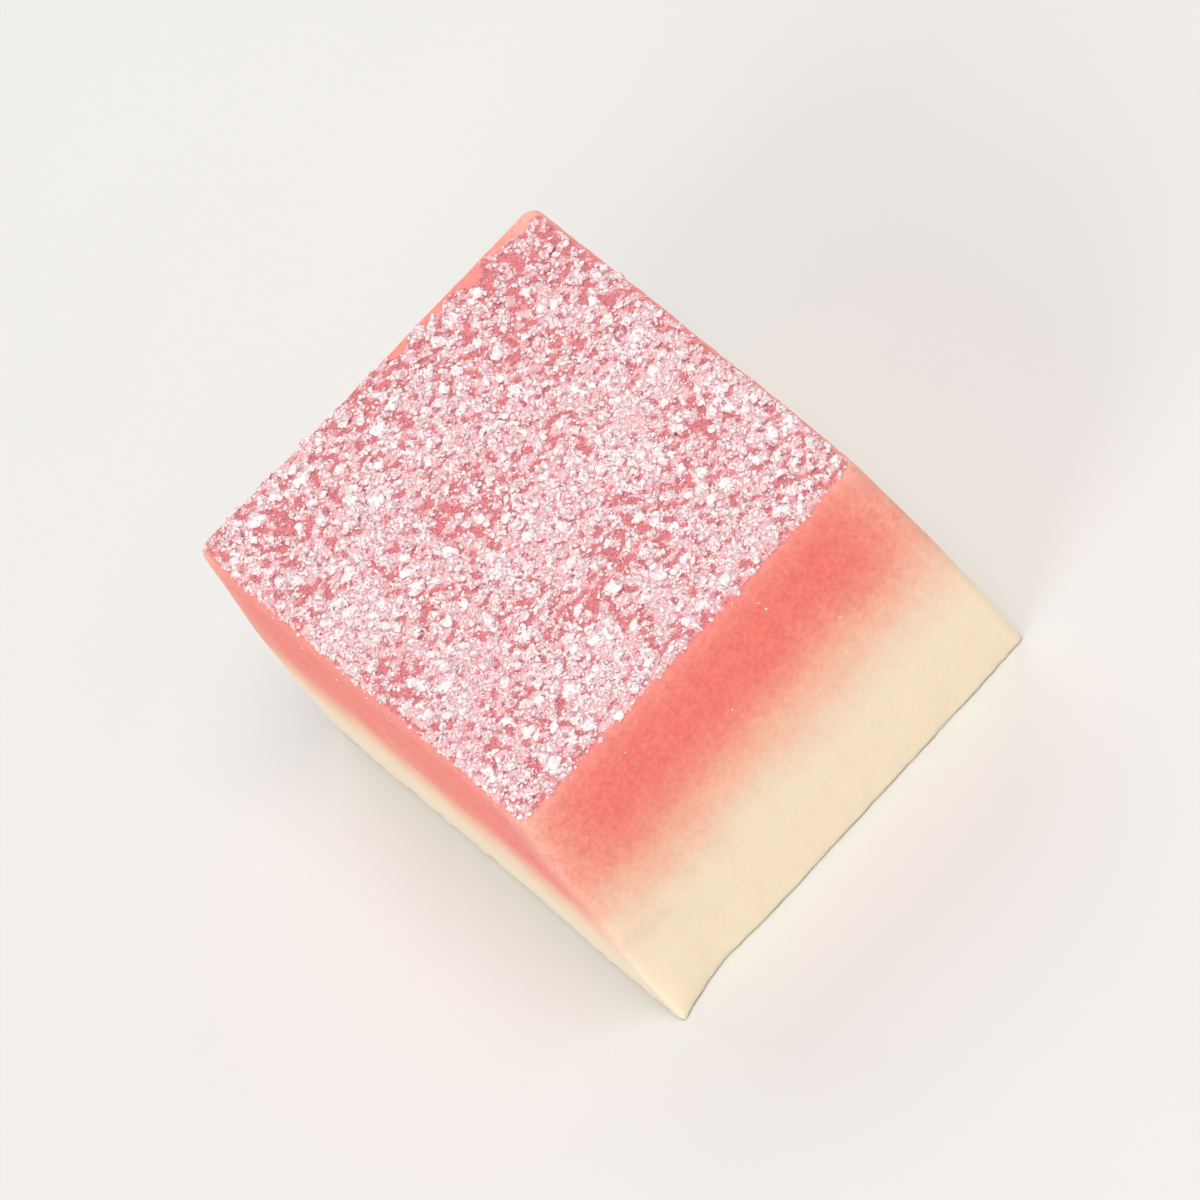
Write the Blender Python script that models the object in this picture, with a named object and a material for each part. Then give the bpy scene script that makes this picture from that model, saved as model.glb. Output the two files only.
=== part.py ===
"""A piece of two-layer nama chocolate: berry ganache over white ganache, dusted with sugar.

Metres, +Z up. The origin is the middle of the base, and +X runs the long way of the piece.
"""

import math
import random

import bmesh
import bpy
from mathutils import Matrix, Vector, noise

# The cut block, without its sugar
LENGTH = 0.0250
WIDTH = 0.0187
HEIGHT = 0.0114
BERRY_SHARE = 0.44  # of the height, from the top down
SEAM = HEIGHT * (1 - BERRY_SHARE)
LAYER_GAP = 0.0003

# How the soft ganache has settled
DRAFT = 0.00040  # each side leans in by this much from base to top
LEAN = 0.00030  # the top stands this much further to +Y than the base
FAN = 0.00020  # each end reaches this much further at the -Y side, and as much less at +Y
BOW = 0.00012  # each side swells by this much at mid height
SHOULDER = 0.00055  # the upper edges are eased over this width
SHOULDER_DROP = 0.00045
FOOT = 0.00025  # the base edges are eased over this width
FOOT_RISE = 0.00012
SWAY = 0.00013  # slow unevenness of every face
SWAY_SPAN = 0.0085
SWAY_SEED = 1071
SEAM_WAVE = 0.00030  # slow rise and fall of the line between the layers
SEAM_SPAN = 0.0080

# The foot corner at +X and -Y, which the knife dragged out; past TIP_TURN it leaves a soft dent
TIP = Vector((LENGTH / 2, -WIDTH / 2, 0.0))
TIP_PULL = Vector((0.00060, 0.0, 0.0))
TIP_TURN = 0.0019
TIP_REACH = 0.0046
MIDDLE = Vector((0.00020, 0.0, 0.0))  # of the piece with that corner, from the block's own middle

# The grid that the block is bent on
CELL = 0.0024
ARC_STEP = math.tan(math.radians(22.5))  # halves the turn of an eased edge

# The largest clumps of sugar, which stand on the berry layer
CLUMP_COUNT = 280
CLUMP_WIDEST = 0.00060
CLUMP_NARROWEST = 0.00036
CLUMP_THICKNESS = 0.45  # of its width
CLUMP_SINK = 0.06  # of its width, from its middle down to the face
CLUMP_RAGGED = 0.24
CLUMP_SPACE = 0.00010  # least space between two clumps
CLUMP_MARGIN = 0.00036  # least space from a clump's middle to the edge of the block
CLUMP_TRIES = 400
BARE_RIM = 0.00040  # the strip at the -X edge that the sugar misses
THIN_CORNER = Vector((-LENGTH / 2, WIDTH / 2, 0.0))
THIN_REACH = 0.0130  # the sugar thins out this far from that corner
PATCH_SPAN = 0.0042
SUGAR_SEED = 20

BERRY_PINK = (0.90, 0.245, 0.205, 1.0)
WHITE_GANACHE = (0.92, 0.745, 0.545, 1.0)


def clear_scene():
    for obj in list(bpy.data.objects):
        bpy.data.objects.remove(obj, do_unlink=True)


def new_collection(name):
    collection = bpy.data.collections.new(name)
    bpy.context.scene.collection.children.link(collection)
    return collection


def ganache(name, colour):
    material = bpy.data.materials.new(name)
    material.use_nodes = True
    shader = material.node_tree.nodes["Principled BSDF"]
    shader.inputs["Base Color"].default_value = colour
    shader.inputs["Roughness"].default_value = 0.5
    shader.inputs["Metallic"].default_value = 0.0
    return material


def clamp(value, low, high):
    return max(low, min(high, value))


def eased(point):
    """The point of a plain box, with the block's edges rounded off."""
    rise = point.z / HEIGHT
    plan = FOOT + (SHOULDER - FOOT) * rise
    upright = SHOULDER_DROP if rise > 0.5 else FOOT_RISE
    inner = Vector((
        clamp(point.x, plan - LENGTH / 2, LENGTH / 2 - plan),
        clamp(point.y, plan - WIDTH / 2, WIDTH / 2 - plan),
        clamp(point.z, FOOT_RISE, HEIGHT - SHOULDER_DROP),
    ))
    reach = Vector((plan, plan, upright))
    lean = Vector(((point - inner)[i] / reach[i] for i in range(3)))
    if lean.length > 1:
        lean.normalize()
    return inner + lean * reach


def seam_lift(point):
    """How far the wavy seam lifts a point; nothing at the base and at the top."""
    room = HEIGHT - SEAM if point.z > SEAM else SEAM
    share = 1 - abs(point.z - SEAM) / room
    return SEAM_WAVE * share * noise.noise(Vector((point.x, point.y, 0)) / SEAM_SPAN)


def settled(box_point):
    """Where a point of a plain box block lies in the soft, hand-cut piece."""
    point = eased(box_point)
    point.z += seam_lift(point)
    rise = point.z / HEIGHT
    spread = BOW * math.sin(math.pi * rise) - DRAFT * rise
    fan = -FAN * point.y / (WIDTH / 2)
    point.x *= 1 + (spread + fan) / (LENGTH / 2)
    point.y *= 1 + spread / (WIDTH / 2)
    point.y += LEAN * rise
    sway = SWAY * noise.noise_vector(point / SWAY_SPAN)
    point += Vector((sway.x, sway.y, sway.z * rise))
    away = min((box_point - TIP).length, TIP_REACH)
    dragged = (1 - away / TIP_REACH) * (1 - away / TIP_TURN)
    return point + dragged * TIP_PULL - MIDDLE


def stations(half, ease):
    """Where the grid crosses one side: even cells, and closer lines round the eased edges."""
    flat = half - ease
    cells = round(2 * flat / CELL)
    even = [-flat + 2 * flat * i / cells for i in range(cells + 1)]
    bend = flat + ease * ARC_STEP
    return [-bend, *even, bend]


def layer(name, low, high, levels, material, collection):
    """A slab of the block from low to high, cut into a grid and bent to the settled shape."""
    bm = bmesh.new()
    bmesh.ops.create_cube(bm, size=1.0)
    bmesh.ops.scale(bm, vec=(LENGTH, WIDTH, high - low), verts=bm.verts)
    bmesh.ops.translate(bm, vec=(0, 0, (low + high) / 2), verts=bm.verts)
    cuts = [(Vector((x, 0, 0)), Vector((1, 0, 0))) for x in stations(LENGTH / 2, SHOULDER)]
    crossings = [*stations(WIDTH / 2, SHOULDER), TIP.y + TIP_TURN]
    cuts += [(Vector((0, y, 0)), Vector((0, 1, 0))) for y in crossings]
    cuts += [(Vector((0, 0, z)), Vector((0, 0, 1))) for z in levels]
    for place, normal in cuts:
        everything = bm.verts[:] + bm.edges[:] + bm.faces[:]
        bmesh.ops.bisect_plane(bm, geom=everything, dist=1e-7, plane_co=place, plane_no=normal)
    for vert in bm.verts:
        vert.co = settled(vert.co)
    bmesh.ops.triangulate(bm, faces=bm.faces[:])
    mesh = bpy.data.meshes.new(name)
    bm.to_mesh(mesh)
    bm.free()
    mesh.materials.append(material)
    obj = bpy.data.objects.new(name, mesh)
    collection.objects.link(obj)
    return obj


def sugar_cover(x, y):
    """The share of the top that sugar covers there, from 0 to 1."""
    if x < BARE_RIM - LENGTH / 2 + DRAFT:
        return 0.0
    patches = 0.62 + 0.55 * noise.noise(Vector((x, y, 0)) / PATCH_SPAN)
    away = min(1.0, (Vector((x, y, 0)) - THIN_CORNER).length / THIN_REACH)
    return clamp(patches * (0.35 + 0.65 * away), 0.0, 1.0)


def clump_places():
    """(x, y, width, turn) of each clump, the widest first, none closer than CLUMP_SPACE."""
    draw = random.Random(SUGAR_SEED)
    reach_x = LENGTH / 2 - DRAFT - CLUMP_MARGIN
    reach_y = WIDTH / 2 - DRAFT - CLUMP_MARGIN
    placed = []
    for i in range(CLUMP_COUNT):
        width = CLUMP_WIDEST * (CLUMP_NARROWEST / CLUMP_WIDEST) ** (i / (CLUMP_COUNT - 1))
        for _ in range(CLUMP_TRIES):
            x = draw.uniform(-reach_x, reach_x)
            y = draw.uniform(-reach_y, reach_y)
            crowded = any(
                math.hypot(x - a, y - b) < (width + other) / 2 * (1 + CLUMP_RAGGED) + CLUMP_SPACE
                for a, b, other, _ in placed
            )
            if not crowded and draw.random() < sugar_cover(x, y):
                placed.append((x, y, width, draw.uniform(0, math.tau)))
                break
    return placed


def sugar_clump(index, x, y, width, turn, collection):
    """One ragged lump of sugar, sunk into the top of the block."""
    draw = random.Random(SUGAR_SEED + index)
    bm = bmesh.new()
    bmesh.ops.create_icosphere(bm, subdivisions=1, radius=width / 2)
    for vert in bm.verts:
        vert.co *= 1 + draw.uniform(-CLUMP_RAGGED, CLUMP_RAGGED)
    length_share = draw.uniform(0.85, 1.15)
    shape = Matrix.Diagonal((length_share, 1 / length_share, CLUMP_THICKNESS, 1))
    face = settled(Vector((x, y, HEIGHT)))
    face.z += CLUMP_SINK * width
    bmesh.ops.transform(
        bm,
        matrix=Matrix.Translation(face) @ Matrix.Rotation(turn, 4, "Z") @ shape,
        verts=bm.verts,
    )
    mesh = bpy.data.meshes.new(f"sugar_clump_{index}")
    bm.to_mesh(mesh)
    bm.free()
    obj = bpy.data.objects.new(mesh.name, mesh)
    collection.objects.link(obj)


def fuse(base, collection):
    """Joins every object of the collection to base, then removes them."""
    union = base.modifiers.new("sugar", "BOOLEAN")
    union.operation = "UNION"
    union.operand_type = "COLLECTION"
    union.collection = collection
    union.solver = "EXACT"
    bpy.context.view_layer.update()
    graph = bpy.context.evaluated_depsgraph_get()
    joined = bpy.data.meshes.new_from_object(base.evaluated_get(graph))
    base.modifiers.remove(union)
    base.data = joined
    for obj in list(collection.objects):
        bpy.data.objects.remove(obj, do_unlink=True)
    bpy.data.collections.remove(collection)


def build():
    clear_scene()
    noise.seed_set(SWAY_SEED)
    chocolate = new_collection("nama_chocolate")
    layer(
        "cream_layer",
        0.0,
        SEAM - LAYER_GAP / 2,
        [FOOT_RISE, TIP_TURN, SEAM / 2],
        ganache("white_ganache", WHITE_GANACHE),
        chocolate,
    )
    berry = layer(
        "berry_layer",
        SEAM + LAYER_GAP / 2,
        HEIGHT,
        [(SEAM + HEIGHT) / 2, HEIGHT - SHOULDER_DROP, HEIGHT - SHOULDER_DROP * (1 - ARC_STEP)],
        ganache("berry_ganache", BERRY_PINK),
        chocolate,
    )
    clumps = new_collection("sugar_clumps")
    for index, place in enumerate(clump_places()):
        sugar_clump(index, *place, clumps)
    fuse(berry, clumps)


build()
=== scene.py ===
"""One sugared piece of berry and white nama chocolate, dressed around its solids.

The piece stands on its white layer. +X runs the long way and +Z is up, in metres.
"""

import math
import random

import bmesh
import bpy
import numpy as np
from bpy.props import FloatProperty, FloatVectorProperty, IntProperty, PointerProperty
from mathutils import Matrix, Vector, noise


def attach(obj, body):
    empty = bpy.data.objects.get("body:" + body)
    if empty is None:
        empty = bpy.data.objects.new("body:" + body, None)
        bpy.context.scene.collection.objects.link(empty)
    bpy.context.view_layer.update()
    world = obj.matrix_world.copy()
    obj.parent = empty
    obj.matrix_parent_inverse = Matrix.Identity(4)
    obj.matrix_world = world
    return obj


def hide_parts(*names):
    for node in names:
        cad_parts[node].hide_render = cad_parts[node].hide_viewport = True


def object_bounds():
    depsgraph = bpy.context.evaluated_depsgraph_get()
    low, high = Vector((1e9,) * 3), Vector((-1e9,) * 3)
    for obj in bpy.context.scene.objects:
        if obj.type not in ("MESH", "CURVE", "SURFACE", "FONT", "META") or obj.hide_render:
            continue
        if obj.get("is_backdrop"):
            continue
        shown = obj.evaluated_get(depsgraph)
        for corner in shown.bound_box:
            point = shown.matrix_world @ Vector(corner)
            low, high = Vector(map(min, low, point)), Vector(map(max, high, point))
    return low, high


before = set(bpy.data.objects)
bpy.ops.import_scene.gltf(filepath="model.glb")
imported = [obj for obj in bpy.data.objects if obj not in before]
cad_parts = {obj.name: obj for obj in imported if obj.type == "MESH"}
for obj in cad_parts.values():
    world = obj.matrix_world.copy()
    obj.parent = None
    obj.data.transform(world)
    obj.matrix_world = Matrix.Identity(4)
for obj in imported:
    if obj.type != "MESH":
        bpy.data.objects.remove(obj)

bl_info = {
    "name": "Nama chocolate piece",
    "version": (1, 0, 0),
    "blender": (4, 5, 0),
    "location": "3D View > Sidebar > Nama chocolate",
    "description": "Builds one sugared piece of berry and white nama chocolate",
    "category": "Add Mesh",
}

MM = 0.001

# How the unevenness of the cut sides is made up
ON_SURFACE = 0.999  # a point this far out from the core of an eased edge lies on the surface
SHORTEST = 1e-9  # stands in for a length of nothing, so that it can be divided by
STREAK_RISE = 0.09  # how fast a streak changes up the side, of how fast it does along it
FINE_STREAK_RISE = 0.05
FINE_STREAK_SPAN = 0.37  # of the broad streaks' span
FINE_STREAK_DEPTH = 0.45  # of the broad streaks' depth
FINE_STREAK_SHIFT = 0.02
FINE_RAGGED_RATIO = 2.7  # how many times finer than the broad raggedness
FINE_RAGGED_DEPTH = 0.6  # of the broad raggedness
FOOT_FADE = 0.35 * MM  # height over which the raggedness of the base edge fades
CREASE = math.radians(60)  # a sharper turn than this is shaded as an edge

# Where the sifted sugar lies
PATCH_MEAN = 0.62  # of the top, where the sugar comes and goes in patches
PATCH_SWING = 0.55
THIN_SHARE = 0.35  # of the cover that is left in the thin corner
SIFTED_SLOPE = 0.60  # how far up a face has to look before sugar stays on it
SIFTED_FADE = 0.30
RIM_FADE = 4.0  # how soon the bare rim narrows along its edge
RIM_SHIFT = 0.3  # moves the place where it ends
FLECKS = ((1.0, 1.0), (0.5, 0.7), (3.0, 0.3))  # (share of the fleck span, weight)
FLECK_SWING = 1.3
LEAST_COVER = 0.04  # in the barest gap
UPRIGHT_SLOPE = 0.3  # how far up a side may look and still be a side
STRAY_FLOOR = 0.02  # the stray grains lower down, of those just below the top
CLUMP_TRIES = 400  # places drawn for a clump before it is left out

# How one lump of sugar differs from the next
SHAPE_SEED = 7
TONE_SEED = 11
TURN_SEED = 3
LUMP_SWING = (1.0, 1.0, 0.5)  # how much its three sizes vary
TILT = 0.5  # most that a grain is tipped about either axis of its face, in radians

# (piece, detail, grains to a square metre at full cover, narrowest, widest, lift, seed)
SIFTINGS = (
    ("sugar_lumps", 2, 5.5e6, 0.00022, 0.00034, 0.06, 1),
    ("sugar_flecks", 1, 2.3e7, 0.00015, 0.00023, 0.10, 2),
    ("sugar_grains", 1, 4.0e7, 0.00009, 0.00015, 0.16, 3),
    ("sugar_dust", 1, 4.0e7, 0.00004, 0.00009, 0.30, 4),
)
GRIT_PER_WIDTH = 1.3  # how finely a grain is pitted, for its width
STRAY_SEED = 4

# How the ganache is coloured
BROAD_DRIFT = 3.2 * MM  # spans over which the two ganaches run into each other
SMALL_DRIFT = 0.7 * MM
SMALL_DRIFT_SHARE = 0.35
PALING = (3.7 * MM, 5.0 * MM)  # above the seam, where the berry turns paler
EDGE_GLOW_IN_WHITE = 0.6  # how strongly the painted glow pales an upright edge in the white layer, of the berry one
MOTTLE_SPAN = 0.55 * MM
FINE_MOTTLE_SPAN = 0.20 * MM
FINE_MOTTLE_SHARE = 1.5
MOTTLE_RANGE = (0.80, 1.70)  # of the two together, from dark speck to pale
DARK_SPECK = (0.93, 0.80, 0.79)
PALE_SPECK = (1.07, 1.20, 1.21)
WHITE_SPECKS = 0.1  # how strongly the white layer is mottled, of the berry one
GAP_SPAN = 0.10 * MM  # of the painted shade in the gaps under the sugar
DAMP_AND_SHADE_SHARE = 0.9  # how much of the berry's colour under the sugar turns damp, with painted shade in its gaps
DUST_SPAN = 0.14 * MM
DUST_SWING = 1.6  # how far dust breaks up the cover
DUST_SHARE = 0.8
DUST_ROUGHNESS = 0.35  # added where dust lies
ROUGHNESS_SWING = (-0.05, 0.08)
MIDDLE_HALF = (0.25, 0.75)  # of a noise
GLOW_FADE = (0.1 * MM, 1.3 * MM)  # from the seam, where the glow sets in
GLOW_WEIGHT = 0.6
PORE_SPAN = 0.16 * MM
PORE_DEPTH = 0.012 * MM

# How the sugar is coloured
# dark sugar is partly berry stain and partly painted shade, as where grains shadow each other
STAIN_AND_SHADE_SPAN = 0.11 * MM
STAIN_AND_SHADE_SWING = 2.2  # within a grain
STAIN_AND_SHADE_SHIFT = -0.83
TONE_SWING = 0.5  # from one grain to another
SUGAR_GLOW = 0.15 * MM  # how deep light goes into a grain
CRYSTAL_SPAN = 0.06 * MM
CRYSTAL_DEPTH = 0.025 * MM

# The studio
FLOOR_SPAN = 0.02
FLOOR_SWING = 1.01  # its palest tone, of its darkest
LIGHT_SIZE = 0.9
# (name, place, watts, colour)
LIGHTS = (
    ("key", (0.50, 0.20, 1.25), 8.9, (1.0, 0.99, 0.98)),
    ("fill", (0.55, -1.00, 0.55), 5.5, (1.0, 0.95, 0.90)),
    ("back", (-0.9, 0.2, 0.8), 2.6, (1.0, 1.0, 1.0)),
)
AIR_COLOUR = (1.0, 0.99, 0.98, 1.0)
AIR_STRENGTH = 0.55
SENSOR_WIDTH = 36.0
CAMERA_BACK = Vector((0.769, -0.0569, 0.6368)).normalized()  # from the piece to the camera
CAMERA_RIGHT = Vector((0.4927, 0.6874, -0.5336))  # roughly, before it is squared up


def length(name, description, default):
    """A size in metres."""
    return FloatProperty(
        name=name, description=description, default=default, min=0.0, precision=5, unit="LENGTH"
    )


def share(name, description, default):
    """A share from 0 to 1."""
    return FloatProperty(
        name=name, description=description, default=default, min=0.0, max=1.0, subtype="FACTOR"
    )


def colour(name, description, default):
    """A linear colour."""
    return FloatVectorProperty(
        name=name,
        description=description,
        default=default,
        size=3,
        min=0.0,
        max=1.0,
        subtype="COLOR",
    )


class NamaBlock(bpy.types.PropertyGroup):
    """Form of the cut block, without its sugar."""

    length: length("Length", "Along the long side, at the base", 0.0250)
    width: length("Width", "Across the piece, at the base", 0.0187)
    height: length("Height", "From the base to the bare top", 0.0114)
    berry_share: share("Berry share", "Share of the height that is berry ganache", 0.44)
    draft: length("Draft", "How far each side leans in from base to top", 0.00040)
    lean: length("Lean", "How much further to +Y the top stands than the base", 0.00030)
    fan: length("Fan", "How much further each end reaches at the -Y side", 0.00020)
    bow: length("Bow", "How far each side swells at mid height", 0.00012)
    shoulder: length("Shoulder", "Width over which the upper edges are eased", 0.00055)
    shoulder_drop: length("Shoulder drop", "Height over which they are eased", 0.00045)
    foot: length("Foot", "Width over which the base edges are eased", 0.00025)
    foot_rise: length("Foot rise", "Height over which the base edges are eased", 0.00012)
    sway: length("Sway", "Slow unevenness of every face", 0.00013)
    sway_span: length("Sway span", "Distance over which the faces sway", 0.0085)
    sway_seed: IntProperty(name="Sway seed", description="Changes how the faces sway", default=1071)
    seam_wave: length("Seam wave", "Rise and fall of the line between the layers", 0.0003)
    seam_span: length("Seam span", "Distance over which that line waves", 0.0080)
    tip_pull: length("Tip pull", "How far the knife dragged one foot corner out", 0.00060)
    tip_turn: length("Tip turn", "From that corner to where its drag turns into a dent", 0.0019)
    tip_reach: length("Tip reach", "From that corner to where the dent ends", 0.0046)
    middle: length("Middle", "From the block's middle to the whole piece's, along X", 0.00020)
    cell: length("Cell", "Size of one face of the fine surface", 0.000125)
    drag_depth: length("Drag depth", "Depth of the streaks that the knife left", 0.000022)
    drag_span: length("Drag span", "Distance between those streaks", 0.00075)
    dimple_depth: length("Dimple depth", "Depth of the soft dimples in the sides", 0.000020)
    dimple_span: length("Dimple span", "Distance between the dimples", 0.0012)
    ragged_depth: length("Ragged depth", "Raggedness of the base edge", 0.00007)
    ragged_span: length("Ragged span", "Distance over which the base edge is ragged", 0.0006)
    film_depth: length("Film depth", "Thickness of the caked sugar on the top", 0.00004)


class NamaGanache(bpy.types.PropertyGroup):
    """Finish of the two ganaches."""

    berry: colour("Berry", "The berry ganache at its fullest", (0.895, 0.230, 0.192))
    berry_pale: colour("Pale berry", "Berry ganache near the top edge", (0.905, 0.31, 0.265))
    blush: colour("Blush", "Where the berry runs out into the white", (0.915, 0.50, 0.365))
    # darker than the berry, partly as damp and partly as painted shade between the grains
    damp: colour("Damp berry", "Berry ganache that the sugar has made damp", (0.77, 0.215, 0.235))
    # painted shade: the dark, dusty colour of the gaps between the grains, where shadow falls
    dust_and_gap_shade: colour("Dusty berry", "Berry ganache deep between the grains", (0.36, 0.150, 0.175))
    white: colour("White", "The white ganache", (0.900, 0.770, 0.590))
    blend_below: length("Blend below", "How far the berry tints the white layer", 0.0030)
    blend_above: length("Blend above", "How far the white pales the berry layer", 0.0022)
    drift: length("Drift", "How unevenly the two run into each other", 0.0008)
    sag: length("Sag", "How far the knife drew the berry down on the -Y side", 0.0011)
    edge_reach: length("Edge reach", "How far from an upright edge the cut is paler", 0.0036)
    # painted light: the share of white that pales an upright edge, standing in for light scattered
    # through the thin edge
    edge_glow_share: share("Edge paleness", "Share of white at an upright edge", 0.36)
    glow: length("Glow", "How deep light goes into the ganache", 0.0005)
    roughness: share("Roughness", "Roughness of a fresh cut", 0.56)


class NamaSugar(bpy.types.PropertyGroup):
    """The sifted sugar on the top."""

    white: colour("Sugar", "Dry sugar", (1.0, 0.925, 0.935))
    moist: colour("Moist sugar", "Sugar that has taken up some berry", (0.99, 0.63, 0.66))
    # darker than the stain alone, as painted shade between the grains
    stained_and_shaded: colour("Stained sugar", "Sugar that has taken up much berry", (0.72, 0.33, 0.36))
    seed: IntProperty(name="Seed", description="Changes where the sugar fell", default=20)
    clump_count: IntProperty(name="Clumps", description="How many large clumps", default=280)
    clump_widest: length("Widest clump", "Width of the first clump", 0.00060)
    clump_narrowest: length("Narrowest clump", "Width of the last clump", 0.00036)
    clump_thickness: share("Clump thickness", "Thickness of a clump, of its width", 0.45)
    clump_sink: share("Clump sink", "From a clump's middle down to the face, of its width", 0.06)
    clump_ragged: share("Clump raggedness", "Unevenness of a clump, of its width", 0.24)
    clump_space: length("Clump space", "Least space between two clumps", 0.0001)
    clump_margin: length("Clump margin", "Least space from a clump to the edge", 0.00036)
    bare_rim: length("Bare rim", "Strip at one end that the sugar misses", 0.0004)
    thin_reach: length("Thin reach", "How far the sugar is thin from one corner", 0.0130)
    patch_span: length("Patch span", "Distance over which the sugar comes and goes", 0.0042)
    fleck_span: length("Fleck span", "Distance over which it gathers into flecks", 0.00050)
    stray_reach: length("Stray reach", "How far below the top stray grains are common", 0.0007)


class NamaStudio(bpy.types.PropertyGroup):
    """Floor, lights and camera."""

    floor: colour("Floor", "The floor", (0.74, 0.735, 0.725))
    floor_size: length("Floor size", "Side of the square floor", 4.0)
    camera_distance: length("Camera distance", "From the middle of the piece", 0.853)
    frame_width: length("Frame width", "Width that the picture takes in at the piece", 0.044)


# --- form of the block -------------------------------------------------------------------------


def slow_noise(points, span):
    """Smooth noise from -1 to 1 at each point."""
    return np.array([noise.noise(place) for place in (points / span).tolist()])


def slow_noise_vectors(points, span, seed):
    """Three smooth noises at each point, chosen by the seed."""
    noise.seed_set(seed)
    return np.array([tuple(noise.noise_vector(place)) for place in (points / span).tolist()])


def smooth(values):
    """The values held from 0 to 1, as shares that start and end gently."""
    held = np.clip(values, 0.0, 1.0)
    return held * held * (3 - 2 * held)


def seam_height(block):
    """Where the layers meet, before the line between them waves."""
    return block.height * (1 - block.berry_share)


def eased(block, points):
    """The points of a plain box with its edges rounded off, and the way out of it at each point."""
    rise = points[:, 2] / block.height
    plan = block.foot + (block.shoulder - block.foot) * rise
    upright = np.where(rise > 0.5, block.shoulder_drop, block.foot_rise)
    reach = np.stack([plan, plan, upright], axis=1)
    high = np.stack(
        [
            block.length / 2 - plan,
            block.width / 2 - plan,
            np.full_like(plan, block.height - block.shoulder_drop),
        ],
        axis=1,
    )
    low = np.stack([-high[:, 0], -high[:, 1], np.full_like(plan, block.foot_rise)], axis=1)
    inner = np.clip(points, low, high)
    lean = (points - inner) / reach
    size = np.linalg.norm(lean, axis=1, keepdims=True)
    lean /= np.maximum(size, 1.0)
    outward = np.where(size > ON_SURFACE, lean / reach, 0.0)
    outward /= np.maximum(np.linalg.norm(outward, axis=1, keepdims=True), SHORTEST)
    return inner + lean * reach, outward


def settled(block, box_points):
    """Where the points of a plain box lie in the soft, hand-cut piece, and the way out there."""
    points, outward = eased(block, box_points)
    seam = seam_height(block)
    room = np.where(points[:, 2] > seam, block.height - seam, seam)
    tent = 1 - np.abs(points[:, 2] - seam) / room
    flat = points * (1, 1, 0)
    points[:, 2] += block.seam_wave * tent * slow_noise(flat, block.seam_span)
    rise = points[:, 2] / block.height
    spread = block.bow * np.sin(math.pi * rise) - block.draft * rise
    fan = -block.fan * points[:, 1] / (block.width / 2)
    points[:, 0] *= 1 + (spread + fan) / (block.length / 2)
    points[:, 1] *= 1 + spread / (block.width / 2)
    points[:, 1] += block.lean * rise
    sway = block.sway * slow_noise_vectors(points, block.sway_span, block.sway_seed)
    sway[:, 2] *= rise
    points = points + sway
    tip = np.array((block.length / 2, -block.width / 2, 0.0))
    away = np.minimum(np.linalg.norm(box_points - tip, axis=1), block.tip_reach)
    dragged = (1 - away / block.tip_reach) * (1 - away / block.tip_turn)
    points[:, 0] += block.tip_pull * dragged - block.middle
    return points, outward


def cut_relief(block, points, outward):
    """How far the knife's streaks, dimples and the ragged base edge lift each point."""
    side = np.linalg.norm(outward[:, :2], axis=1)
    streaks = slow_noise(points * (1, 1, STREAK_RISE), block.drag_span)
    finer = points * (1, 1, FINE_STREAK_RISE) + FINE_STREAK_SHIFT
    streaks += FINE_STREAK_DEPTH * slow_noise(finer, block.drag_span * FINE_STREAK_SPAN)
    dimples = slow_noise(points, block.dimple_span)
    ragged = slow_noise(points, block.ragged_span)
    ragged += FINE_RAGGED_DEPTH * slow_noise(points, block.ragged_span / FINE_RAGGED_RATIO)
    foot = np.exp(-points[:, 2] / FOOT_FADE)
    depth = block.drag_depth * streaks + block.dimple_depth * dimples
    return side * (depth + foot * block.ragged_depth * ragged)


def sugar_cover(block, sugar, x, y):
    """The share of the top that sugar covers there, from 0 to 1, past the bare rim."""
    here = Vector((x, y, 0))
    patches = PATCH_MEAN + PATCH_SWING * noise.noise(here / sugar.patch_span)
    corner = Vector((-block.length / 2, block.width / 2, 0))
    away = min(1.0, (here - corner).length / sugar.thin_reach)
    return max(0.0, min(1.0, patches * (THIN_SHARE + (1 - THIN_SHARE) * away)))


def flecked_cover(block, sugar, box_points, outward):
    """Where the sugar was sifted, and its share there, gathered into flecks and bare gaps."""
    facing = smooth((outward[:, 2] - SIFTED_SLOPE) / SIFTED_FADE)
    facing *= box_points[:, 2] > block.height / 2
    here = np.flatnonzero(facing > 0)
    broad = np.array([sugar_cover(block, sugar, x, y) for x, y in box_points[here, :2].tolist()])
    flat = box_points[here] * (1, 1, 0)
    # the bare rim narrows from the +Y corner and ends near the middle of that edge
    narrowing = smooth(RIM_FADE * flat[:, 1] / block.width + RIM_SHIFT)
    rim = (sugar.bare_rim + block.draft) * narrowing
    within = flat[:, 0] > rim * (1 + slow_noise(flat, 2 * sugar.fleck_span)) - block.length / 2
    flecks = sum(weight * slow_noise(flat, span * sugar.fleck_span) for span, weight in FLECKS)
    sifted, cover = np.zeros((2, len(box_points)))
    sifted[here] = facing[here] * within
    cover[here] = sifted[here] * np.clip(broad + FLECK_SWING * flecks, LEAST_COVER, 1.0)
    return sifted, cover


def stray_cover(block, sugar, box_points, outward):
    """How likely a stray grain sticks to each point of the sides, mostly just below the top."""
    upright = np.abs(outward[:, 2]) < UPRIGHT_SLOPE
    below_top = block.height - box_points[:, 2]
    return upright * (np.exp(-below_top / sugar.stray_reach) + STRAY_FLOOR)


def store(mesh, name, values):
    """Keeps one number a vertex on the mesh."""
    numbers = mesh.attributes.new(name, "FLOAT", "POINT")
    numbers.data.foreach_set("value", np.asarray(values, np.float32))


# --- node building -----------------------------------------------------------------------------


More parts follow.
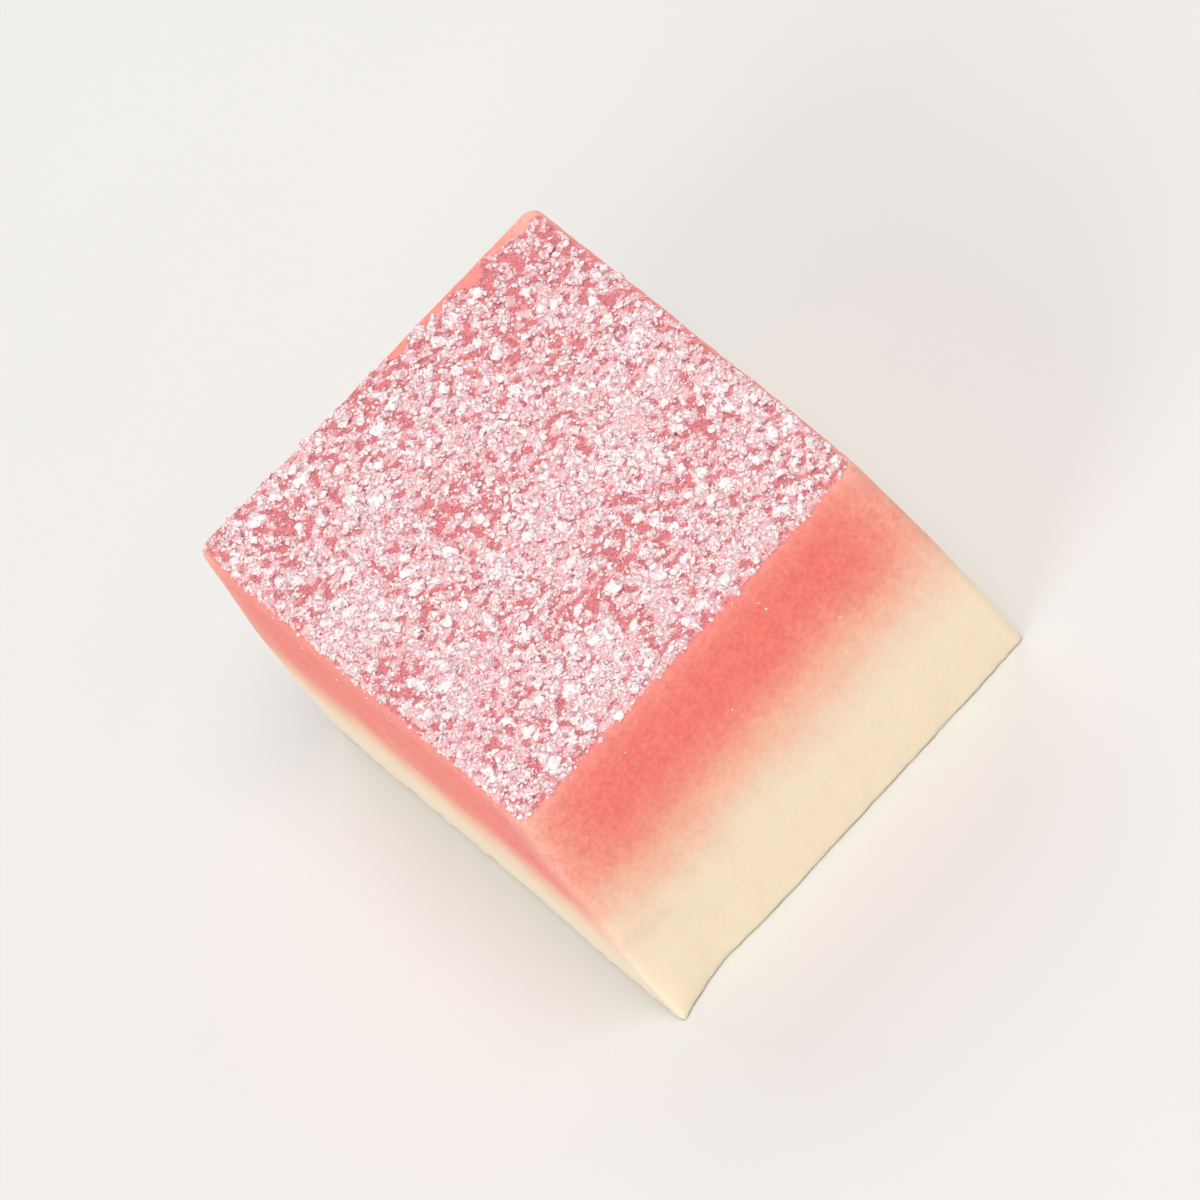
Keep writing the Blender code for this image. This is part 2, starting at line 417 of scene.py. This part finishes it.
def add(tree, kind, inputs=None, **settings):
    """A new node, with its settings, and each input linked to a socket or set to a value."""
    made = tree.nodes.new(kind)
    for name, value in settings.items():
        setattr(made, name, value)
    for key, value in (inputs or {}).items():
        if isinstance(value, bpy.types.NodeSocket):
            tree.links.new(value, made.inputs[key])
        else:
            made.inputs[key].default_value = value
    return made


def maths(tree, operation, *values):
    """The result of one Math node."""
    return add(tree, "ShaderNodeMath", dict(enumerate(values)), operation=operation).outputs[0]


def vector_maths(tree, operation, *values, **named):
    """The vector that one Vector Math node gives."""
    inputs = {**dict(enumerate(values)), **named}
    return add(tree, "ShaderNodeVectorMath", inputs, operation=operation).outputs["Vector"]


def ranged(tree, value, from_low, from_high, to_low=0.0, to_high=1.0, **settings):
    """The value carried from one range to another, and held within it."""
    ends = {"From Min": from_low, "From Max": from_high, "To Min": to_low, "To Max": to_high}
    return add(tree, "ShaderNodeMapRange", {"Value": value, **ends}, **settings).outputs["Result"]


def random_vector(tree, low, high, seed):
    """A random vector for each point."""
    inputs = {"Min": low, "Max": high, "Seed": seed}
    made = add(tree, "FunctionNodeRandomValue", inputs, data_type="FLOAT_VECTOR")
    return made.outputs["Value"]


def random_number(tree, seed):
    """A random number from 0 to 1 for each point."""
    made = add(tree, "FunctionNodeRandomValue", {"Seed": seed}, data_type="FLOAT")
    return made.outputs[1]


def named_number(tree, name):
    """The number of that name on each point of the mesh."""
    made = add(tree, "GeometryNodeInputNamedAttribute", {"Name": name}, data_type="FLOAT")
    return made.outputs["Attribute"]


def new_tree(name, sockets):
    """A geometry tree with these inputs, given as name: (socket type, default), and its ends."""
    tree = bpy.data.node_groups.new(name, "GeometryNodeTree")
    tree.interface.new_socket("Geometry", in_out="OUTPUT", socket_type="NodeSocketGeometry")
    for label, (kind, default) in sockets.items():
        socket = tree.interface.new_socket(label, in_out="INPUT", socket_type=kind)
        if default is not None:
            socket.default_value = default
    return tree, tree.nodes.new("NodeGroupInput"), tree.nodes.new("NodeGroupOutput")


def run_tree(name, mesh, tree, values):
    """The plain mesh object that a geometry tree makes from this mesh."""
    obj = bpy.data.objects.new(name, mesh)
    bpy.context.scene.collection.objects.link(obj)
    modifier = obj.modifiers.new(tree.name, "NODES")
    modifier.node_group = tree
    for item in tree.interface.items_tree:
        if item.in_out == "INPUT" and item.name in values:
            modifier[item.identifier] = values[item.name]
    graph = bpy.context.evaluated_depsgraph_get()
    made = bpy.data.meshes.new_from_object(obj.evaluated_get(graph))
    obj.modifiers.clear()
    obj.data = made
    made.name = name
    made.materials.clear()
    made.materials.append(values["Material"])
    made.polygons.foreach_set("material_index", np.zeros(len(made.polygons), np.int32))
    return obj


def box_tree():
    """A closed box cut into a grid."""
    tree, given, out = new_tree(
        "ganache_slab",
        {
            "Size": ("NodeSocketVector", None),
            "Vertices X": ("NodeSocketInt", 10),
            "Vertices Y": ("NodeSocketInt", 10),
            "Vertices Z": ("NodeSocketInt", 10),
            "Material": ("NodeSocketMaterial", None),
        },
    )
    names = ("Size", "Vertices X", "Vertices Y", "Vertices Z")
    box = add(tree, "GeometryNodeMeshCube", {name: given.outputs[name] for name in names})
    coated = add(
        tree,
        "GeometryNodeSetMaterial",
        {"Geometry": box.outputs["Mesh"], "Material": given.outputs["Material"]},
    )
    tree.links.new(coated.outputs["Geometry"], out.inputs["Geometry"])
    return tree


def lump_nodes(tree, points, width, turn, given):
    """Ragged lumps on these points, realised, with the tree's material and a tone for each."""
    sizes = {"Radius": 0.5, "Subdivisions": given.outputs["Detail"]}
    ball = add(tree, "GeometryNodeMeshIcoSphere", sizes)
    kept = add(tree, "GeometryNodeCaptureAttribute", {"Geometry": points})
    kept.capture_items.new("FLOAT", "Width")
    tree.links.new(width, kept.inputs["Width"])
    kept_width = kept.outputs["Width"]
    uneven = random_vector(tree, [-swing for swing in LUMP_SWING], LUMP_SWING, SHAPE_SEED)
    spread = add(tree, "ShaderNodeCombineXYZ", {axis: given.outputs["Stretch"] for axis in "XYZ"})
    stretch = vector_maths(tree, "MULTIPLY_ADD", uneven, spread.outputs["Vector"], (1.0, 1.0, 1.0))
    thickness = given.outputs["Thickness"]
    flat = add(tree, "ShaderNodeCombineXYZ", {"X": 1.0, "Y": 1.0, "Z": thickness})
    shape = vector_maths(tree, "MULTIPLY", stretch, flat.outputs["Vector"])
    lumps = add(
        tree,
        "GeometryNodeInstanceOnPoints",
        {
            "Points": kept.outputs["Geometry"],
            "Instance": ball.outputs["Mesh"],
            "Rotation": turn,
            "Scale": vector_maths(tree, "SCALE", shape, Scale=kept_width),
        },
    )
    tone = random_number(tree, TONE_SEED)
    toned = add(
        tree,
        "GeometryNodeStoreNamedAttribute",
        {"Geometry": lumps.outputs["Instances"], "Name": "tone", "Value": tone},
        data_type="FLOAT",
        domain="INSTANCE",
    )
    real = add(tree, "GeometryNodeRealizeInstances", {"Geometry": toned.outputs["Geometry"]})
    grit = add(
        tree,
        "ShaderNodeTexNoise",
        {"Scale": given.outputs["Grit"], "Detail": 2.0, "Roughness": 0.6},
        normalize=True,
    )
    tree.links.new(add(tree, "GeometryNodeInputPosition").outputs[0], grit.inputs["Vector"])
    centred = vector_maths(tree, "SUBTRACT", grit.outputs["Color"], (0.5, 0.5, 0.5))
    amount = maths(tree, "MULTIPLY", kept_width, given.outputs["Ragged"])
    offset = vector_maths(tree, "SCALE", centred, Scale=amount)
    bent = add(
        tree,
        "GeometryNodeSetPosition",
        {"Geometry": real.outputs["Geometry"], "Offset": offset},
    )
    shaded = add(tree, "GeometryNodeSetShadeSmooth", {"Geometry": bent.outputs["Geometry"]})
    coated = add(
        tree,
        "GeometryNodeSetMaterial",
        {"Geometry": shaded.outputs["Geometry"], "Material": given.outputs["Material"]},
    )
    return coated.outputs["Geometry"]


LUMP_SOCKETS = {
    "Detail": ("NodeSocketInt", 1),
    "Thickness": ("NodeSocketFloat", 0.6),
    "Stretch": ("NodeSocketFloat", 0.4),
    "Ragged": ("NodeSocketFloat", 0.8),
    "Grit": ("NodeSocketFloat", 3000.0),
    "Material": ("NodeSocketMaterial", None),
}


def clump_tree():
    """A lump on each vertex, as wide and as turned as the vertex says."""
    tree, given, out = new_tree(
        "sugar_clumps", {"Geometry": ("NodeSocketGeometry", None), **LUMP_SOCKETS}
    )
    width = named_number(tree, "width")
    spin = add(tree, "ShaderNodeCombineXYZ", {"Z": named_number(tree, "turn")})
    made = lump_nodes(tree, given.outputs["Geometry"], width, spin.outputs["Vector"], given)
    tree.links.new(made, out.inputs["Geometry"])
    return tree


def sifted_tree():
    """Lumps scattered over a surface, as thickly as one of its attributes says."""
    tree, given, out = new_tree(
        "sifted_lumps",
        {
            "Geometry": ("NodeSocketGeometry", None),
            "Where": ("NodeSocketString", "cover"),
            "Amount": ("NodeSocketFloat", 1000.0),
            "Narrowest": ("NodeSocketFloat", 0.0001),
            "Widest": ("NodeSocketFloat", 0.0003),
            "Lift": ("NodeSocketFloat", 0.0),
            "Seed": ("NodeSocketInt", 0),
            **LUMP_SOCKETS,
        },
    )
    where = named_number(tree, given.outputs["Where"])
    density = maths(tree, "MULTIPLY", where, given.outputs["Amount"])
    fallen = add(
        tree,
        "GeometryNodeDistributePointsOnFaces",
        {"Mesh": given.outputs["Geometry"], "Density": density, "Seed": given.outputs["Seed"]},
        distribute_method="RANDOM",
    )
    # squaring the draw makes narrow grains commoner than wide ones
    squared = maths(tree, "POWER", random_number(tree, given.outputs["Seed"]), 2.0)
    width = ranged(tree, squared, 0.0, 1.0, given.outputs["Narrowest"], given.outputs["Widest"])
    spin = random_vector(tree, (-TILT, -TILT, 0.0), (TILT, TILT, math.tau), TURN_SEED)
    turned = add(
        tree,
        "FunctionNodeRotateRotation",
        {"Rotation": fallen.outputs["Rotation"], "Rotate By": spin},
        rotation_space="LOCAL",
    )
    lift = maths(tree, "MULTIPLY", width, given.outputs["Lift"])
    offset = vector_maths(tree, "SCALE", fallen.outputs["Normal"], Scale=lift)
    raised = add(
        tree,
        "GeometryNodeSetPosition",
        {"Geometry": fallen.outputs["Points"], "Offset": offset},
    )
    made = lump_nodes(tree, raised.outputs["Geometry"], width, turned.outputs["Rotation"], given)
    tree.links.new(made, out.inputs["Geometry"])
    return tree


# --- materials ---------------------------------------------------------------------------------


def new_material(name):
    """A new material, its node tree and its shader."""
    material = bpy.data.materials.new(name)
    material.use_nodes = True
    tree = material.node_tree
    return material, tree, tree.nodes["Principled BSDF"]


def noise_at(tree, place, span, detail):
    """A noise from 0 to 1 whose features are about span wide."""
    return add(
        tree,
        "ShaderNodeTexNoise",
        {"Vector": place, "Scale": 1 / span, "Detail": detail, "Roughness": 0.55},
    ).outputs["Fac"]


def attribute(tree, name):
    """The number of that name that the mesh carries."""
    return add(tree, "ShaderNodeAttribute", attribute_name=name).outputs["Fac"]


def ramp(tree, value, stops):
    """A colour ramp through these (position, colour) stops."""
    made = add(tree, "ShaderNodeValToRGB", {"Fac": value})
    elements = made.color_ramp.elements
    while len(elements) < len(stops):
        elements.new(1.0)
    for element, (position, shade) in zip(elements, stops):
        element.position = position
        element.color = (*shade, 1.0)
    return made.outputs["Color"]


def mix(tree, factor, first, second, blend="MIX"):
    """Two colours mixed."""
    made = add(tree, "ShaderNodeMix", {"Factor": factor}, data_type="RGBA", blend_type=blend)
    for key, value in ((6, first), (7, second)):
        if isinstance(value, bpy.types.NodeSocket):
            tree.links.new(value, made.inputs[key])
        else:
            made.inputs[key].default_value = (*value, 1.0)
    return made.outputs[2]


def layered_colour(tree, ganache, place, above):
    """Berry above the seam and white below it, and the share of berry in it."""
    broad = maths(tree, "SUBTRACT", noise_at(tree, place, BROAD_DRIFT, 1.0), 0.5)
    small = maths(tree, "SUBTRACT", noise_at(tree, place, SMALL_DRIFT, 2.0), 0.5)
    wander = maths(tree, "MULTIPLY_ADD", small, SMALL_DRIFT_SHARE, broad)
    sagged = maths(tree, "MULTIPLY_ADD", attribute(tree, "drawn_down"), ganache.sag, above)
    drifted = maths(tree, "MULTIPLY_ADD", wander, ganache.drift * 2, sagged)
    blend = ranged(tree, drifted, -ganache.blend_below, ganache.blend_above)
    white, blush, berry = map(Vector, (ganache.white, ganache.blush, ganache.berry))
    stops = (
        (0.0, white),
        (0.25, white.lerp(blush, 0.33)),
        (0.50, blush),
        (0.75, blush.lerp(berry, 0.64)),
        (1.0, berry),
    )
    paling = ranged(tree, above, *PALING)
    layers = mix(tree, paling, ramp(tree, blend, stops), ganache.berry_pale)
    # painted light: the cut is paler near each upright edge, as if light scattered through it
    inset = attribute(tree, "from_upright")
    nearness = ranged(tree, inset, 0.0, ganache.edge_reach, 1.0, 0.0)
    painted_edge_glow = maths(tree, "MULTIPLY", maths(tree, "POWER", nearness, 2.0), ganache.edge_glow_share)
    strength = maths(tree, "MULTIPLY_ADD", blend, 1 - EDGE_GLOW_IN_WHITE, EDGE_GLOW_IN_WHITE)
    painted_edge_glow = maths(tree, "MULTIPLY", painted_edge_glow, strength)
    return mix(tree, painted_edge_glow, layers, ganache.white), blend


def ganache_material(name, settings):
    """Smooth, slightly translucent ganache that runs from berry into white across the seam."""
    ganache, sugar = settings.nama_ganache, settings.nama_sugar
    material, tree, shader = new_material(name)
    place = add(tree, "ShaderNodeTexCoord").outputs["Object"]
    above = attribute(tree, "above_seam")
    layers, blend = layered_colour(tree, ganache, place, above)
    mottle = noise_at(tree, place, MOTTLE_SPAN, 4.0)
    fine = noise_at(tree, place, FINE_MOTTLE_SPAN, 2.0)
    uneven = maths(tree, "MULTIPLY_ADD", fine, FINE_MOTTLE_SHARE, mottle)
    speck = mix(tree, ranged(tree, uneven, *MOTTLE_RANGE), DARK_SPECK, PALE_SPECK)
    depth = maths(tree, "MULTIPLY_ADD", blend, 1 - WHITE_SPECKS, WHITE_SPECKS)
    mottled = mix(tree, 1.0, layers, mix(tree, depth, (1.0, 1.0, 1.0), speck), "MULTIPLY")
    # painted shade: dark specks under the sugar, where the grains shadow the berry, mixed with the
    # damp berry
    gap_shade_noise = noise_at(tree, place, GAP_SPAN, 2.0)
    damp_and_gap_shade = ramp(tree, gap_shade_noise, ((0.40, ganache.dust_and_gap_shade), (0.52, ganache.damp)))
    under_sugar = maths(tree, "MULTIPLY", attribute(tree, "sifted"), DAMP_AND_SHADE_SHARE)
    damp_and_shaded_berry = mix(tree, under_sugar, mottled, damp_and_gap_shade)
    broken = maths(tree, "SUBTRACT", noise_at(tree, place, DUST_SPAN, 3.0), 0.5)
    # how much sugar dust lies on the top, real dust with no shade in it
    dust_and_gap_shade = maths(tree, "MULTIPLY_ADD", broken, DUST_SWING, attribute(tree, "cover"))
    dust = ranged(tree, dust_and_gap_shade, *MIDDLE_HALF)
    dusted = mix(tree, maths(tree, "MULTIPLY", dust, DUST_SHARE), damp_and_shaded_berry, sugar.moist)
    tree.links.new(dusted, shader.inputs["Base Color"])
    ends = (ganache.roughness + swing for swing in ROUGHNESS_SWING)
    rough = ranged(tree, mottle, *MIDDLE_HALF, *ends)
    rough = maths(tree, "ADD", rough, maths(tree, "MULTIPLY", dust, DUST_ROUGHNESS))
    tree.links.new(rough, shader.inputs["Roughness"])
    # the glow fades out at the seam, so that the two pieces meet with no dark line
    from_seam = maths(tree, "ABSOLUTE", above)
    glow = ranged(tree, from_seam, *GLOW_FADE, 0.0, GLOW_WEIGHT, interpolation_type="SMOOTHSTEP")
    tree.links.new(glow, shader.inputs["Subsurface Weight"])
    shader.inputs["Subsurface Radius"].default_value = (1.0, 0.55, 0.40)
    shader.inputs["Subsurface Scale"].default_value = ganache.glow
    shader.inputs["IOR"].default_value = 1.45
    shader.inputs["Specular IOR Level"].default_value = 0.12
    pores = noise_at(tree, place, PORE_SPAN, 3.0)
    bump = add(tree, "ShaderNodeBump", {"Strength": 0.5, "Distance": PORE_DEPTH, "Height": pores})
    tree.links.new(bump.outputs["Normal"], shader.inputs["Normal"])
    return material


def sugar_material(settings):
    """Matt white sugar that lets a little light through."""
    made = bpy.data.materials.get("sifted_sugar")
    if made:
        return made
    sugar = settings.nama_sugar
    material, tree, shader = new_material("sifted_sugar")
    place = add(tree, "ShaderNodeTexCoord").outputs["Object"]
    patch = noise_at(tree, place, STAIN_AND_SHADE_SPAN, 2.0)
    stain_and_shade = maths(tree, "MULTIPLY_ADD", patch, STAIN_AND_SHADE_SWING, STAIN_AND_SHADE_SHIFT)
    dryness = maths(tree, "MULTIPLY_ADD", attribute(tree, "tone"), TONE_SWING, stain_and_shade)
    # the dark end of the ramp is partly berry stain and partly painted shade
    stops = ((0.12, sugar.stained_and_shaded), (0.32, sugar.moist), (0.64, sugar.white))
    tree.links.new(ramp(tree, dryness, stops), shader.inputs["Base Color"])
    tree.links.new(ranged(tree, patch, 0.0, 1.0, 0.75, 0.95), shader.inputs["Roughness"])
    shader.inputs["Subsurface Weight"].default_value = 0.35
    shader.inputs["Subsurface Radius"].default_value = (1.0, 0.8, 0.8)
    shader.inputs["Subsurface Scale"].default_value = SUGAR_GLOW
    shader.inputs["Specular IOR Level"].default_value = 0.3
    crystals = noise_at(tree, place, CRYSTAL_SPAN, 2.0)
    facets = {"Strength": 0.8, "Distance": CRYSTAL_DEPTH, "Height": crystals}
    bump = add(tree, "ShaderNodeBump", facets)
    tree.links.new(bump.outputs["Normal"], shader.inputs["Normal"])
    return material


def floor_material(studio):
    """A pale matt floor, very slightly uneven in tone."""
    material, tree, shader = new_material("studio_floor")
    place = add(tree, "ShaderNodeTexCoord").outputs["Object"]
    shade = noise_at(tree, place, FLOOR_SPAN, 2.0)
    pale = [min(1.0, FLOOR_SWING * channel) for channel in studio.floor]
    tint = ramp(tree, shade, ((0.3, studio.floor), (0.7, pale)))
    tree.links.new(tint, shader.inputs["Base Color"])
    shader.inputs["Roughness"].default_value = 0.7
    return material


# --- pieces ------------------------------------------------------------------------------------


def slab(name, settings, low, high, material):
    """One layer of the block with its fine surface, from box height low to high."""
    block, sugar = settings.nama_block, settings.nama_sugar
    size = (block.length, block.width, high - low)
    counts = [max(2, round(side / block.cell) + 1) for side in size]
    obj = run_tree(
        name,
        bpy.data.meshes.new(name + "_start"),
        box_tree(),
        {
            "Size": size,
            "Vertices X": counts[0],
            "Vertices Y": counts[1],
            "Vertices Z": counts[2],
            "Material": material,
        },
    )
    mesh = obj.data
    box_points = np.empty(len(mesh.vertices) * 3, np.float32)
    mesh.vertices.foreach_get("co", box_points)
    box_points = box_points.reshape(-1, 3).astype(float)
    box_points[:, 2] += (low + high) / 2
    points, outward = settled(block, box_points)
    sifted, cover = flecked_cover(block, sugar, box_points, outward)
    lift = cut_relief(block, points, outward) + block.film_depth * cover
    points += outward * lift[:, None]
    mesh.vertices.foreach_set("co", points.astype(np.float32).ravel())
    store(mesh, "above_seam", box_points[:, 2] - seam_height(block))
    inset = np.array((block.length, block.width)) / 2 - np.abs(box_points[:, :2])
    store(mesh, "from_upright", inset.max(axis=1))
    store(mesh, "drawn_down", smooth(-outward[:, 1]))
    store(mesh, "sifted", sifted)
    store(mesh, "cover", cover)
    store(mesh, "stray", stray_cover(block, sugar, box_points, outward))
    mesh.shade_smooth()
    mesh.set_sharp_from_angle(angle=CREASE)
    mesh.update()
    return obj


def clump_places(block, sugar):
    """(x, y, width, turn) of each large clump, the widest first, as in the solid."""
    draw = random.Random(sugar.seed)
    reach_x = block.length / 2 - block.draft - sugar.clump_margin
    reach_y = block.width / 2 - block.draft - sugar.clump_margin
    bare_end = sugar.bare_rim - block.length / 2 + block.draft
    ratio = sugar.clump_narrowest / sugar.clump_widest
    placed = []
    for i in range(sugar.clump_count):
        width = sugar.clump_widest * ratio ** (i / (sugar.clump_count - 1))
        for _ in range(CLUMP_TRIES):
            x, y = draw.uniform(-reach_x, reach_x), draw.uniform(-reach_y, reach_y)
            crowded = any(
                math.hypot(x - a, y - b)
                < (width + other) / 2 * (1 + sugar.clump_ragged) + sugar.clump_space
                for a, b, other, _ in placed
            )
            cover = sugar_cover(block, sugar, x, y) if x > bare_end else 0.0
            if not crowded and draw.random() < cover:
                placed.append((x, y, width, draw.uniform(0, math.tau)))
                break
    return placed


class NAMA_OT_white_layer(bpy.types.Operator):
    """Make the white ganache layer, from the base to the seam"""

    bl_idname = "nama.white_layer"
    bl_label = "White layer"

    def execute(self, context):
        settings = context.scene
        block = settings.nama_block
        material = ganache_material("cut_white_ganache", settings)
        obj = slab("white_ganache_layer", settings, 0.0, seam_height(block), material)
        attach(obj, "root")
        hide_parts("cream_layer")
        return {"FINISHED"}


class NAMA_OT_berry_layer(bpy.types.Operator):
    """Make the berry ganache layer, from the seam to the top"""

    bl_idname = "nama.berry_layer"
    bl_label = "Berry layer"

    def execute(self, context):
        settings = context.scene
        block = settings.nama_block
        material = ganache_material("cut_berry_ganache", settings)
        obj = slab("berry_ganache_layer", settings, seam_height(block), block.height, material)
        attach(obj, "root")
        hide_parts("berry_layer")
        return {"FINISHED"}


class NAMA_OT_sugar_clumps(bpy.types.Operator):
    """Set the large clumps of sugar on the top, where the solid has them"""

    bl_idname = "nama.sugar_clumps"
    bl_label = "Sugar clumps"

    def execute(self, context):
        settings = context.scene
        block, sugar = settings.nama_block, settings.nama_sugar
        places = clump_places(block, sugar)
        spots = np.array([(x, y, block.height) for x, y, _, _ in places])
        points, _ = settled(block, spots)
        widths = np.array([width for _, _, width, _ in places])
        points[:, 2] += sugar.clump_sink * widths
        mesh = bpy.data.meshes.new("clump_places")
        mesh.from_pydata(points.tolist(), [], [])
        store(mesh, "width", widths)
        store(mesh, "turn", [turn for _, _, _, turn in places])
        obj = run_tree(
            "sugar_clumps",
            mesh,
            clump_tree(),
            {
                "Detail": 3,
                "Thickness": sugar.clump_thickness,
                "Stretch": 0.25,
                "Ragged": 1.3,
                "Grit": 3200.0,
                "Material": sugar_material(settings),
            },
        )
        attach(obj, "root")
        return {"FINISHED"}


class NAMA_OT_sifted_sugar(bpy.types.Operator):
    """Sift smaller clumps, grains and dust over the top"""

    bl_idname = "nama.sifted_sugar"
    bl_label = "Sifted sugar"

    def execute(self, context):
        settings = context.scene
        berry = bpy.data.objects["berry_ganache_layer"]
        tree = sifted_tree()
        for name, detail, amount, narrowest, widest, lift, seed in SIFTINGS:
            obj = run_tree(
                name,
                berry.data.copy(),
                tree,
                {
                    "Where": "cover",
                    "Amount": amount,
                    "Narrowest": narrowest,
                    "Widest": widest,
                    "Lift": lift,
                    "Seed": settings.nama_sugar.seed + seed,
                    "Detail": detail,
                    "Thickness": 0.6,
                    "Stretch": 0.45,
                    "Ragged": 1.5,
                    "Grit": GRIT_PER_WIDTH / widest,
                    "Material": sugar_material(settings),
                },
            )
            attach(obj, "root")
        return {"FINISHED"}


class NAMA_OT_stray_sugar(bpy.types.Operator):
    """Stick a few stray grains of sugar to the berry sides"""

    bl_idname = "nama.stray_sugar"
    bl_label = "Stray sugar"

    def execute(self, context):
        settings = context.scene
        berry = bpy.data.objects["berry_ganache_layer"]
        obj = run_tree(
            "stray_sugar",
            berry.data.copy(),
            bpy.data.node_groups.get("sifted_lumps") or sifted_tree(),
            {
                "Where": "stray",
                "Amount": 1.1e6,
                "Narrowest": 0.00007,
                "Widest": 0.00011,
                "Lift": 0.15,
                "Seed": settings.nama_sugar.seed + STRAY_SEED,
                "Detail": 2,
                "Thickness": 0.7,
                "Stretch": 0.45,
                "Ragged": 1.0,
                "Grit": 9000.0,
                "Material": sugar_material(settings),
            },
        )
        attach(obj, "root")
        return {"FINISHED"}


def area_light(name, place, target, watts, shade):
    """A round lamp that looks at the target."""
    data = bpy.data.lights.new(name, "AREA")
    data.shape = "DISK"
    data.size = LIGHT_SIZE
    data.energy = watts
    data.color = shade
    lamp = bpy.data.objects.new(name, data)
    bpy.context.scene.collection.objects.link(lamp)
    lamp.location = place
    lamp.rotation_euler = (Vector(target) - Vector(place)).to_track_quat("-Z", "Y").to_euler()


class NAMA_OT_studio(bpy.types.Operator):
    """Make the floor, the lights and the camera"""

    bl_idname = "nama.studio"
    bl_label = "Studio"

    def execute(self, context):
        scene = context.scene
        studio = scene.nama_studio
        low, high = (Vector(corner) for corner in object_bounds())
        middle = (low + high) / 2
        bm = bmesh.new()
        bmesh.ops.create_grid(bm, x_segments=8, y_segments=8, size=studio.floor_size / 2)
        mesh = bpy.data.meshes.new("floor")
        bm.to_mesh(mesh)
        bm.free()
        mesh.materials.append(floor_material(studio))
        floor = bpy.data.objects.new("floor", mesh)
        scene.collection.objects.link(floor)
        floor.location.z = low.z
        floor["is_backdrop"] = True
        for name, place, watts, shade in LIGHTS:
            area_light(name, place, middle, watts, shade)
        world = bpy.data.worlds.new("studio_air")
        world.use_nodes = True
        backdrop = world.node_tree.nodes["Background"]
        backdrop.inputs["Color"].default_value = AIR_COLOUR
        backdrop.inputs["Strength"].default_value = AIR_STRENGTH
        scene.world = world
        scene.view_settings.view_transform = "Standard"
        data = bpy.data.cameras.new("camera")
        data.sensor_width = SENSOR_WIDTH
        data.lens = data.sensor_width * studio.camera_distance / studio.frame_width
        data.clip_start = 0.01
        data.clip_end = 20.0
        camera = bpy.data.objects.new("camera", data)
        scene.collection.objects.link(camera)
        right = (CAMERA_RIGHT - CAMERA_RIGHT.dot(CAMERA_BACK) * CAMERA_BACK).normalized()
        turned = Matrix((right, CAMERA_BACK.cross(right), CAMERA_BACK)).transposed().to_4x4()
        eye = middle + CAMERA_BACK * studio.camera_distance
        camera.matrix_world = Matrix.Translation(eye) @ turned
        scene.camera = camera
        return {"FINISHED"}


class NAMA_PT_panel(bpy.types.Panel):
    """Sizes, finishes and steps of the nama chocolate piece"""

    bl_idname = "NAMA_PT_panel"
    bl_label = "Nama chocolate"
    bl_space_type = "VIEW_3D"
    bl_region_type = "UI"
    bl_category = "Nama chocolate"

    def draw(self, context):
        for name in GROUPS:
            group = getattr(context.scene, name)
            column = self.layout.column(align=True)
            column.label(text=type(group).__doc__)
            for setting in group.__annotations__:
                column.prop(group, setting)
        for operator in OPERATORS:
            self.layout.operator(operator.bl_idname)


GROUPS = {
    "nama_block": NamaBlock,
    "nama_ganache": NamaGanache,
    "nama_sugar": NamaSugar,
    "nama_studio": NamaStudio,
}
OPERATORS = (
    NAMA_OT_white_layer,
    NAMA_OT_berry_layer,
    NAMA_OT_sugar_clumps,
    NAMA_OT_sifted_sugar,
    NAMA_OT_stray_sugar,
    NAMA_OT_studio,
)


def register():
    for name, group in GROUPS.items():
        bpy.utils.register_class(group)
        setattr(bpy.types.Scene, name, PointerProperty(type=group))
    for operator in OPERATORS:
        bpy.utils.register_class(operator)
    bpy.utils.register_class(NAMA_PT_panel)


def unregister():
    bpy.utils.unregister_class(NAMA_PT_panel)
    for operator in reversed(OPERATORS):
        bpy.utils.unregister_class(operator)
    for name, group in reversed(GROUPS.items()):
        delattr(bpy.types.Scene, name)
        bpy.utils.unregister_class(group)


def main():
    """Makes the piece and its studio."""
    register()
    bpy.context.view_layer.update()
    bpy.ops.nama.white_layer()
    bpy.ops.nama.berry_layer()
    bpy.ops.nama.sugar_clumps()
    bpy.ops.nama.sifted_sugar()
    bpy.ops.nama.stray_sugar()
    bpy.ops.nama.studio()


if __name__ == "__main__":
    main()
